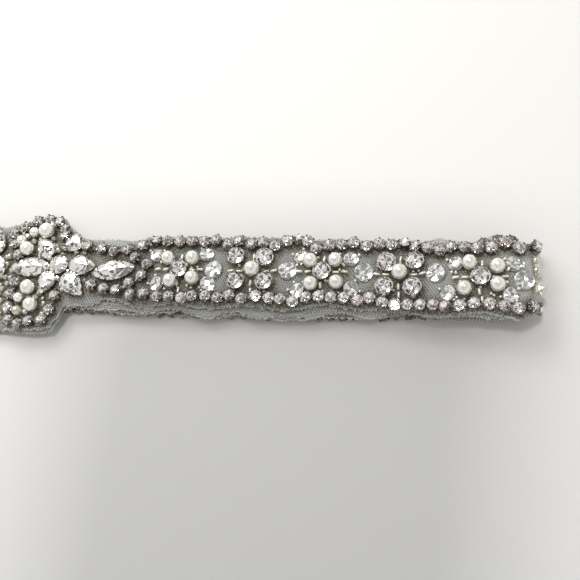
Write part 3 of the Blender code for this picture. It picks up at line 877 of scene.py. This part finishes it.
# %% Set the large crystals
PRONGS = {"round": (20, 80, 140, 200, 260, 320), "navette": (0, 68, 112, 180, 248, 292),
          "pear": (0, 75, 150, 210, 285)}
RIDGES = {"round": ((-0.05, -0.1), (0.1, 0.02), (-0.06, 0.1)),
          "navette": ((-0.3, 0.02), (-0.17, -0.04), (-0.04, 0.05), (0.1, -0.04), (0.22, 0.03), (0.32, 0.0)),
          "pear": ((-0.1, 0.02), (0.0, -0.05), (0.1, 0.04), (0.2, 0.0))}
GIRDLE, CROWN_RISE, PAVILION = 1.45, 0.8, 0.4
SHOULDER = (0.76, 0.42)
placed = list(MIDDLE_GEMS)
for name, s, y, a, b, turn, kind in GEMS:
    placed.append((name + "_right", s, y, a, b, turn, kind))
    placed.append((name + "_left", -s, y, a, b, 180 - turn, kind))
for name, s, y, length, width, turn, kind in placed:
    corners = 16 if kind == "round" else 20
    stone = cut_stone(name + "_cut", kind, length, width, corners, GIRDLE, CROWN_RISE, PAVILION,
                      SHOULDER, RIDGES[kind])
    metal = setting(name + "_cup", kind, length, width, corners, 1.4, PRONGS[kind])
    place = seat(s, y, 0.1, math.radians(turn), dice.gauss(0, 0.05), dice.uniform(0, 2 * math.pi))
    chance = 0.2 + 0.4 * dice.random()
    note_sewn(s, y, 0.35 * length)
    dress(gather(name + "_stone", [(stone, place, chance)], (silvered, silvered)), "crystal", name)
    dress(gather(name + "_setting", [(metal, place, chance)], (bright_metal,)), "crystal")

# %% [markdown]
# ## Pearls, round crystals and clear sequins
#
# A flower is a round crystal with a pearl on each diagonal and a clear petal sequin outside each pearl. A
# diamond turns that round: a pearl in the middle and four crystals. Clear discs sit between the motifs.
# The sequins are thin lenses of glass: a ring of slanting facets round a small flat, over a frosted foil.


# %% Small parts
CHATON = 5.1
PEARL = 2.0
PETAL = 2.1
DISC = 2.6
DIAMOND_PEARL = 2.15
SEED_RING = 2.5


def pearl_mesh():
    """A pearl of radius 1, standing on the origin."""
    bm = bmesh.new()
    bmesh.ops.create_uvsphere(bm, u_segments=20, v_segments=12, radius=1.0)
    bmesh.ops.translate(bm, verts=bm.verts[:], vec=(0, 0, 1.0))
    return mesh_from(bm, "pearl")


def lens_mesh():
    """A clear disc of radius 1: sixteen slanting facets over a frosted foil back."""
    bm = bmesh.new()
    for i in range(16):
        a = 2 * math.pi * i / 16
        bm.verts.new((math.cos(a), math.sin(a), 0.0))
        bm.verts.new((math.cos(a), math.sin(a), 0.08))
        bm.verts.new((0.84 * math.cos(a + 0.2), 0.84 * math.sin(a + 0.2), 0.14))
    for i in range(8):
        a = 2 * math.pi * i / 8
        bm.verts.new((0.40 * math.cos(a), 0.40 * math.sin(a), 0.22))
    bm.verts.new((0, 0, -0.08))
    bmesh.ops.convex_hull(bm, input=bm.verts[:])
    give_back_to_foil(bm, 0.5)
    return mesh_from(bm, "lens")


def tube_mesh(name, radius, length):
    """A short bead lying along X, with softened ends."""
    bm = bmesh.new()
    bmesh.ops.create_cone(bm, cap_ends=True, segments=8, radius1=radius, radius2=radius, depth=length)
    rims = [edge for edge in bm.edges if abs(edge.verts[0].co.z - edge.verts[1].co.z) < 1e-6]
    bmesh.ops.bevel(bm, geom=rims, offset=radius * 0.35, segments=1, profile=0.5, affect="EDGES", material=-1)
    bmesh.ops.rotate(bm, verts=bm.verts[:], cent=(0, 0, 0), matrix=Matrix.Rotation(math.pi / 2, 3, "Y"))
    return mesh_from(bm, name)


def ball_mesh():
    """A faceted glass bead of radius 1, standing on the origin."""
    bm = bmesh.new()
    bmesh.ops.create_icosphere(bm, subdivisions=2, radius=1.0)
    bmesh.ops.translate(bm, verts=bm.verts[:], vec=(0, 0, 1.0))
    return mesh_from(bm, "glass_ball")


pearl = pearl_mesh()
glass_ball = ball_mesh()
lens = lens_mesh()
bugle = tube_mesh("bugle", 0.38, 1.8)
seed = tube_mesh("seed_bead", 0.42, 0.7)
eyelet = tube_mesh("eyelet", 0.82, 0.8)
chaton = cut_stone("chaton", "round", CHATON, CHATON, 16, 1.8, 0.50, 0.72)
chaton_cup = setting("chaton_cup", "round", CHATON, CHATON, 14, 1.8, FOUR_CLAWS)


def lean_away(dice, amount):
    """A random small lean and its direction."""
    return dice.gauss(0, amount), dice.uniform(0, 2 * math.pi)


def scatter_seeds(dice, side, spots, count):
    """Small beads sewn close round the larger ones, to hide the thread."""
    copies = []
    for s, y in spots:
        for _ in range(count):
            a = dice.uniform(0, 2 * math.pi)
            seed_s, seed_y = s + SEED_RING * math.cos(a), y + SEED_RING * math.sin(a)
            copies.append((seed, seat(side * seed_s, seed_y, 0.45, dice.uniform(0, 3)), dice.random()))
    return copies


def crowd(dice, side, count):
    """Small glass beads for the gaps of the medallion, kept clear of everything already sewn there."""
    taken = [(s, y, 0.40 * length) for _, s, y, length, _, _, _ in GEMS]
    taken += [(s, y, radius + 0.3) for s, y, radius in PEARLS_BACK + PEARLS_FRONT + GLASS_BEADS]
    taken += [(s, y, 2.0) for s, y in WING_BACK + WING_FRONT]
    copies = []
    for _ in range(count):
        s, y = dice.uniform(3.0, 30.0), dice.uniform(-14.5, 12.5)
        if any(math.hypot(s - ts, y - ty) < reach for ts, ty, reach in taken):
            continue
        if not top_front(s) + 2.5 < y < top_back(s) - 2.5:
            continue
        taken.append((s, y, 1.1))
        place = seat(side * s, y, 0.1, dice.uniform(0, 3), *lean_away(dice, 0.4))
        copies.append((glass_ball, place @ Matrix.Scale(dice.uniform(0.55, 0.95), 4), dice.random()))
    return copies


# %% [markdown]
# ## Sewing the motifs
#
# Each motif is sewn in the order a hand would take: the pearls or crystals at its corners, the one in the
# middle, the petals, and last the bugles and seeds that hide the thread. The bugles make a cross through
# the middle. A hand never lays them quite straight, so every bugle turns by a few degrees at random.


# %% Flowers
GLASS = (crystal_glass, crystal_foil)
# Bugles of a cross: s and y from the motif's middle, and turn in degrees.
FLOWER_CROSS = ((-6.2, 0.0, 0), (-3.8, 0.0, 5), (3.7, 0.0, -3), (6.0, 0.2, 5),
                (0.3, 3.6, 80), (-0.2, -3.9, 96), (0.5, -6.0, 84))
DIAMOND_CROSS = ((-5.9, 0.1, 2), (-3.5, 0.0, -3), (3.9, 0.0, 12), (6.1, 0.4, 14),
                 (0.2, 4.3, 88), (0.3, 2.6, 94), (0.0, -3.3, 86), (0.2, -5.6, 92))


def bugle_cross(dice, side, s, y, cross):
    """The bugles round a motif's middle."""
    copies = []
    for ds, dy, turn in cross:
        note_sewn(side * (s + ds), y + dy, 0.3)
        place = seat(side * (s + ds), y + dy, 0.9, side * math.radians(turn + dice.gauss(0, 6)))
        copies.append((bugle, place, dice.random()))
    return copies


def flower(name, side, middle, pearls, petals):
    """A round crystal, a pearl on each diagonal and a clear petal outside each pearl."""
    s, y = middle
    note_sewn(side * s, y, 3.0)
    copies = []
    for ps, py in pearls:
        note_sewn(side * ps, py, 2.2)
        place = seat(side * ps, py, 0.25, dice.uniform(0, 6), *lean_away(dice, 0.04))
        copies.append((pearl, place @ Matrix.Scale(PEARL, 4), dice.random()))
    dress(gather(name + "_pearls", copies, (nacre,), smooth=True), "pearl", name)
    place = seat(side * s, y, 0.2, dice.uniform(0, 3), *lean_away(dice, 0.06))
    shade = 0.3 * dice.random()
    dress(gather(name + "_crystal", [(chaton, place, shade)], GLASS), "crystal")
    dress(gather(name + "_cup", [(chaton_cup, place, shade)], (bright_metal,)), "crystal")
    copies = []
    for ps, py in petals:
        note_sewn(side * ps, py, 1.0)
        away = math.atan2(py - y, side * (ps - s))
        place = seat(side * ps, py, 0.3, dice.uniform(0, 3), 0.22, away)
        copies.append((lens, place @ Matrix.Scale(PETAL, 4), 0.3 * dice.random()))
    dress(gather(name + "_petals", copies, (crystal_glass, frosted_foil)), "sequin")
    copies = scatter_seeds(dice, side, pearls + petals + (middle,), 3)
    copies += bugle_cross(dice, side, s, y, FLOWER_CROSS)
    dress(gather(name + "_bugles", copies, (bugle_glass,), smooth=True), "bead")


# %% [markdown]
# ## Diamonds
#
# Between the flowers the plan turns inside out: one pearl, with four round crystals in cups at its
# corners and a bugle cross out to the chain rows. By the second diamond two short tubes stand up on their
# threads like eyelets. I keep those as parts of their own, because they lie apart from the cross.


# %% Diamonds, and two eyelets
EYELETS = {2: ((113.8, -5.9), (121.3, -6.2))}


def eyelets(spots, half, side):
    """Rings by the front row, each with a tiny glass ball in its mouth."""
    for s, y in spots:
        place = seat(side * s, y, 2.5, 0.0, 0.3, -1.5)
        ring = [(eyelet, place @ Matrix.Rotation(math.pi / 2, 4, "Y"), 0.3)]
        drop = [(glass_ball, place @ Matrix.Scale(0.5, 4), 0.3)]
        dress(gather(f"eyelet_{round(s)}_{half}", ring, (cup_metal,)), "bead")
        dress(gather(f"eyelet_glass_{round(s)}_{half}", drop, (champagne_glass,)), "bead")


def diamond(i, half, side, middle, crystals):
    """A pearl with a round crystal at each of its four corners, and its eyelets if it has any."""
    name = f"diamond_{i}_{half}"
    s, y = middle
    stones = []
    cups = []
    note_sewn(side * s, y, 2.4)
    for cs, cy in crystals:
        note_sewn(side * cs, cy, 2.4)
        place = seat(side * cs, cy, 0.2, dice.uniform(0, 3), *lean_away(dice, 0.12))
        shade = 0.1 + 0.5 * dice.random()
        stones.append((chaton, place, shade))
        cups.append((chaton_cup, place, shade))
    dress(gather(name + "_crystals", stones, GLASS), "crystal", name)
    dress(gather(name + "_cups", cups, (bright_metal,)), "crystal")
    eyelets(EYELETS.get(i, ()), half, side)
    place = seat(side * s, y, 0.25, 0.4, 0.2, 1.0) @ Matrix.Scale(DIAMOND_PEARL, 4)
    dress(gather(name + "_pearl", [(pearl, place, 0.5)], (nacre,), smooth=True), "pearl")
    copies = scatter_seeds(dice, side, crystals + (middle,), 2)
    copies += bugle_cross(dice, side, s, y, DIAMOND_CROSS)
    dress(gather(name + "_bugles", copies, (bugle_glass,), smooth=True), "bead")


for side, half in HALVES:
    for i, (middle, pearls, petals) in enumerate(FLOWERS, 1):
        flower(f"flower_{i}_{half}", side, middle, pearls, petals)
    for i, (middle, crystals) in enumerate(DIAMONDS, 1):
        diamond(i, half, side, middle, crystals)

# %% [markdown]
# ## Single pearls, discs and loose beads
#
# What is left is sewn one by one: graded pearls along the wings, clear discs between the motifs with a
# seed bead standing in each, larger glass beads in the mouth of the fold, and a crowd of small ones in the
# medallion's gaps. The glass balls lie at any angle, because they roll as the thread is drawn tight.


# %% Wing pearls, discs and the fold's beads
def loose_balls(dice, side, spots, lift):
    """Glass balls of given radii that have rolled to any angle."""
    copies = []
    for s, y, radius in spots:
        place = seat(side * s, y, lift, dice.uniform(0, 3), *lean_away(dice, 0.3))
        copies.append((glass_ball, place @ Matrix.Scale(radius, 4), dice.random()))
    return copies


for side, half in HALVES:
    for name, spots in (("pearls_back", PEARLS_BACK), ("pearls_front", PEARLS_FRONT)):
        copies = []
        for s, y, radius in spots:
            note_sewn(side * s, y, radius + 0.5)
            place = seat(side * s, y, 0.25, dice.uniform(0, 6), *lean_away(dice, 0.04))
            copies.append((pearl, place @ Matrix.Scale(radius * 1.03, 4), dice.random()))
        dress(gather(f"{name}_{half}_beads", copies, (nacre,), smooth=True), "pearl", f"{name}_{half}")
    discs = []
    for s, y in DISCS:
        place = seat(side * s, y, 0.3, dice.uniform(0, 3), *lean_away(dice, 0.07))
        discs.append((lens, place @ Matrix.Scale(DISC, 4), 0.2 * dice.random()))
        note_sewn(side * s, y, 1.2)
    dress(gather(f"discs_{half}", discs, (crystal_glass, frosted_foil)), "sequin")
    seeds = []
    for s, y in DISCS:
        stand = seat(side * (s + 0.2), y - 0.3, 1.35) @ Matrix.Rotation(math.pi / 2, 4, "Y")
        seeds.append((seed, stand, dice.random()))
    dress(gather(f"disc_beads_{half}", seeds, (bugle_glass,), smooth=True), "bead")
    balls = loose_balls(dice, side, FOLD_BEADS, -0.1)
    dress(gather(f"fold_beads_{half}", balls, (champagne_glass,)), "bead", f"fold_stones_{half}")
    balls = loose_balls(dice, side, GLASS_BEADS, 0.2) + crowd(dice, side, 300)
    dress(gather(f"glass_beads_{half}", balls, (champagne_glass,)), "bead")

# %% [markdown]
# ## The net
#
# The cloth is six thin sheets. One net covers the top run and turns down round both folds, with a lining
# under its flat part, and each lower run has a net and a lining of its own. Every sheet starts as a flat
# grid between its two edges, keeps its flat coordinates as a UV map so that the mesh of the tulle follows
# the cloth, and is then laid in place and thickened. Past the beadwork nothing holds the cloth up, so its
# margins droop.


# %% Cutting a sheet
NET_LIFT = -0.25
LINING_LIFT = -1.0
LOWER_LINING_LIFT = -0.95
RIPPLE = 0.16
BEADED_REACH = 8.5
ARM_START = 40
WING_END = 21
STITCH_REACH = 1.8
FUZZY_MARGIN = 2.2
SHADED_BAND = 0.9


def ripple(s, y):
    """A soft unevenness of the cloth, in millimetres."""
    return RIPPLE * noise.noise(Vector((s / 7, y / 5, 3.0)))


def droop(s, y):
    """How far the loose margin of the arms hangs below the beadwork, in millimetres."""
    loose = max(abs(y) - BEADED_REACH, 0.0)
    return 0.10 * loose * loose if ARM_START < abs(s) < FOLD_S else 0.0


def cloth_piece(bm, name, material, wall):
    """A finished sheet, thickened to a wall of so many millimetres."""
    bmesh.ops.recalc_face_normals(bm, faces=bm.faces[:])
    piece = piece_from(mesh_from(bm, name))
    piece.data.materials.append(material)
    shell = piece.modifiers.new("wall", "SOLIDIFY")
    shell.thickness = wall * MM
    shell.offset = 0.0
    return piece


def stations(start, end, step):
    """Evenly spaced places along the belt, both ends included."""
    count = max(1, round(abs(end - start) / step))
    return [start + (end - start) * i / count for i in range(count + 1)]


def sewn_amount(s, y):
    """How much sewing there is at a place of the net, from 0 to 1."""
    inside = top_front(s) + STITCH_REACH < y < top_back(s) - STITCH_REACH
    most = 0.9 if abs(s) < WING_END and inside else 0.0
    for spot_s, spot_y, radius in SEWN.get(int(s // 6), ()):
        gap = math.hypot(s - spot_s, y - spot_y) - radius
        most = max(most, 1 - gap / STITCH_REACH)
    return min(most, 1.0)


def sheet(name, places, back, front, lift, above=None, rows=28, sewn=True):
    """One sheet of net and its flat area; `above` holds the edges of the sheet that lies on it."""
    bm = bmesh.new()
    count = len(places) - 1
    bmesh.ops.create_grid(bm, x_segments=count, y_segments=rows, size=0.5)
    uv = bm.loops.layers.uv.new("belt")
    amount = bm.verts.layers.float.new("sewn")
    margin = bm.verts.layers.float.new("margin")
    shade = bm.verts.layers.float.new("shade")
    flat = {}
    for vertex in bm.verts:
        s = places[round((vertex.co.x + 0.5) * count)]
        low, high = front(s), back(s)
        flat[vertex] = (s, low + (high - low) * (vertex.co.y + 0.5))
    for face in bm.faces:
        for loop in face.loops:
            loop[uv].uv = flat[loop.vert]
    area = 0.0
    for s, ahead in zip(places, places[1:]):
        area += (back(s) - front(s)) * abs(ahead - s)
    for vertex, (s, y) in flat.items():
        sink = droop(s, y)
        vertex[margin] = eased(1 - min(back(s) - y, y - front(s)) / FUZZY_MARGIN)
        if sewn:
            vertex[amount] = sewn_amount(s, y)
            sink += 0.12 * vertex[amount]
        # Painted shade on this sheet, fading out beyond the edge of the sheet that lies on it.
        if above:
            beyond = max(y - above[0](s), above[1](s) - y)
            vertex[shade] = eased(1 - beyond / SHADED_BAND)
        vertex.co = laid(s, y, lift + ripple(s, y) - sink)
    piece = cloth_piece(bm, name, tulle, 0.4)
    piece.data.shade_smooth()
    print(f"{name}: {len(piece.data.polygons)} faces, flat area {area / 100:.1f} square centimetres")
    return piece, area * MM * MM


# %% Lay the sheets
def lay_cloth(name, places, edges, lift, nodes, above=None, sewn=True):
    """Cut and lay one sheet, and state its flat size."""
    cloth, area = sheet(name, places, *edges, lift, above, sewn=sewn)
    dress(cloth, "net", *nodes)


top_end = LOWER_S + 1.6
near_fold = stations(FOLD_S - 0.5, top_end, 0.35)
right_half = stations(0, FOLD_S - 0.5, 0.85) + near_fold[1:]
whole_top = [-s for s in right_half[:0:-1]] + right_half
folds = ("net_top", "net_fold_left", "net_fold_right")
lay_cloth("net_top_cloth", whole_top, (top_back, top_front), NET_LIFT, folds)
lining_places = stations(-FOLD_S + 3, FOLD_S - 3, 0.9)
lay_cloth("top_lining", lining_places, (lining_back, lining_front), LINING_LIFT, (),
          above=(top_back, top_front), sewn=False)
for side, half in HALVES:
    places = [side * s for s in stations(top_end + 0.1, END_S, 0.9)]
    lay_cloth(f"lower_cloth_{half}", places, (lower_back, lower_front), NET_LIFT, ("under_layers",))
    places = [side * s for s in stations(top_end + 2, END_S, 0.9)]
    edges = (lower_lining_back, lower_lining_front)
    lay_cloth(f"lower_lining_{half}", places, edges, LOWER_LINING_LIFT, (), sewn=False)

# %% [markdown]
# ## Frayed margins
#
# Tulle is cut with scissors and never hemmed, so its edge is a row of cut thread ends. Hair strands would
# draw every end, but they can't be kept as a plain mesh. I add a narrow strip of uneven teeth along each
# edge instead, which also spares the big sheets from being cut any finer.


# %% Fray the edges
def fray(name, places, edge, outward, lift, dice):
    """A strip of ragged teeth along one edge of a sheet."""
    bm = bmesh.new()
    uv = bm.loops.layers.uv.new("belt")
    inner = []
    outer = []
    for s in places:
        y = edge(s)
        tooth = outward * dice.uniform(0.05, 0.75)
        rise = lift + ripple(s, y) - droop(s, y)
        inner.append((s, y - 0.4 * outward, bm.verts.new(laid(s, y - 0.4 * outward, rise + 0.1))))
        outer.append((s, y + tooth, bm.verts.new(laid(s, y + tooth, rise + dice.uniform(-0.25, 0.25)))))
    for i in range(len(places) - 1):
        corners = (inner[i], inner[i + 1], outer[i + 1], outer[i])
        face = bm.faces.new([corner[2] for corner in corners])
        for loop, corner in zip(face.loops, corners):
            loop[uv].uv = corner[:2]
    dress(cloth_piece(bm, name, cut_tulle, 0.12), "net")


top_teeth = stations(-FOLD_S + 1, FOLD_S - 1, 0.5)
lining_teeth = stations(-FOLD_S + 4, FOLD_S - 4, 0.5)
fray("fray_top_back", top_teeth, top_back, 1, NET_LIFT, dice)
fray("fray_top_front", top_teeth, top_front, -1, NET_LIFT, dice)
fray("fray_lining_back", lining_teeth, lining_back, 1, LINING_LIFT, dice)
fray("fray_lining_front", lining_teeth, lining_front, -1, LINING_LIFT, dice)
for side, half in HALVES:
    teeth = [side * s for s in stations(top_end + 3, END_S, 0.5)]
    fray(f"fray_lower_back_{half}", teeth, lower_back, 1, NET_LIFT, dice)
    fray(f"fray_lower_front_{half}", teeth, lower_front, -1, NET_LIFT, dice)
    fray(f"fray_lower_lining_front_{half}", teeth, lower_lining_front, -1, LOWER_LINING_LIFT, dice)
print("margins frayed")

# %% [markdown]
# ## The table
#
# The sash was laid on a plain white surface. A disc six metres in radius stands for it, at the height of
# the model's lowest point and round so that it has no corner to show on the horizon.


# %% Floor
def floor():
    """A wide matt white surface at the sash's resting height."""
    bm = bmesh.new()
    bmesh.ops.create_circle(bm, cap_ends=True, segments=96, radius=6.0)
    material, nodes, links, shader = new_material("floor_white")
    shader.inputs["Base Color"].default_value = (0.73, 0.725, 0.71, 1)
    shader.inputs["Roughness"].default_value = 0.6
    piece = piece_from(mesh_from(bm, "floor"))
    piece.data.materials.append(material)
    piece.location = (0, 0, cad_box[0][2])


floor()


# %% [markdown]
# ## The light
#
# A window behind the sash and to the left makes the surface fade from bright at the back to grey at the
# front, and a ceiling lamp fills in. Cut stones need something dark to reflect as well, so a dark card
# hangs over the near side and the room itself is dim, with brighter and darker patches high up.


# %% Lights
def area_light(name, place, aim, size, watts, colour):
    """A soft light in a rectangle that looks at a point."""
    data = bpy.data.lights.new(name, "AREA")
    data.shape = "RECTANGLE"
    data.size, data.size_y = size
    data.energy = watts
    data.color = colour
    light = bpy.data.objects.new(name, data)
    light.location = place
    light.rotation_euler = (Vector(aim) - Vector(place)).to_track_quat("-Z", "Y").to_euler()
    bpy.context.collection.objects.link(light)


area_light("window", (-0.12, 0.29, 0.34), (0.07, 0.0, 0.0), (0.30, 0.20), 0.95, (1.0, 0.995, 0.98))
area_light("ceiling", (0.08, 0.12, 1.20), (0.08, 0.12, 0.0), (0.20, 0.20), 6.8, (1.0, 0.99, 0.97))


def dark_card():
    """A dark board over the near side, where the person holding the camera stands."""
    bm = bmesh.new()
    bmesh.ops.create_grid(bm, x_segments=1, y_segments=1, size=0.5)
    material, nodes, links, shader = new_material("dark_card")
    shader.inputs["Base Color"].default_value = (0.34, 0.33, 0.33, 1)
    card = piece_from(mesh_from(bm, "dark_card"))
    card.data.materials.append(material)
    card.scale = (0.11, 0.30, 1)
    card.location = (0.085, -0.120, 0.25)


def room_light():
    """A dim room with brighter and darker patches for the crystals to catch."""
    world = bpy.data.worlds.new("room")
    world.use_nodes = True
    nodes, links = world.node_tree.nodes, world.node_tree.links
    way = nodes.new("ShaderNodeTexCoord")
    patches = noise_value(nodes, links, way.outputs["Generated"], 4.5, 1.0)
    share = ranged(nodes, links, patches, 0.46, 0.54)
    height = nodes.new("ShaderNodeSeparateXYZ")
    links.new(way.outputs["Generated"], height.inputs["Vector"])
    horizon = ranged(nodes, links, height.outputs["Z"], 0.36, 0.50, 1.0, 0.0)
    share = math_node(nodes, links, "MAXIMUM", share, horizon)
    colour = mix_colours(nodes, links, share, (0.19, 0.19, 0.18), (1.0, 1.0, 0.98))
    links.new(colour, nodes["Background"].inputs["Color"])
    nodes["Background"].inputs["Strength"].default_value = 0.86
    bpy.context.scene.world = world


dark_card()
room_light()


# %% [markdown]
# ## The camera
#
# The sash is looked at from close by, over its right arm, and the medallion runs out of view on the
# left. I work the camera's axes out from three turns, because a camera aimed with a constraint couldn't
# carry the small roll.


# %% Camera
def camera():
    """A close look down at the right arm, 70 degrees above the table and a little from the right."""
    lift, sway, roll = math.radians(70), math.radians(12), math.radians(1.6)
    distance = 0.230
    aim = Vector((cad_box[1][0] - 0.0675, -0.0022, 0))
    toward = Vector((math.sin(sway), -math.cos(lift) * math.cos(sway), math.sin(lift) * math.cos(sway)))
    toward.normalize()
    right = (Vector((1, 0, 0)) - toward * toward.x).normalized()
    up = toward.cross(right)
    right, up = (math.cos(roll) * right + math.sin(roll) * up, math.cos(roll) * up - math.sin(roll) * right)
    data = bpy.data.cameras.new("camera")
    data.lens = 52.0
    data.clip_start = 0.01
    eye = bpy.data.objects.new("camera", data)
    turn = Matrix((right, up, toward)).transposed().to_4x4()
    eye.matrix_world = Matrix.Translation(aim + toward * distance) @ turn
    bpy.context.collection.objects.link(eye)
    bpy.context.scene.camera = eye


camera()
bpy.context.scene.view_settings.view_transform = "Standard"
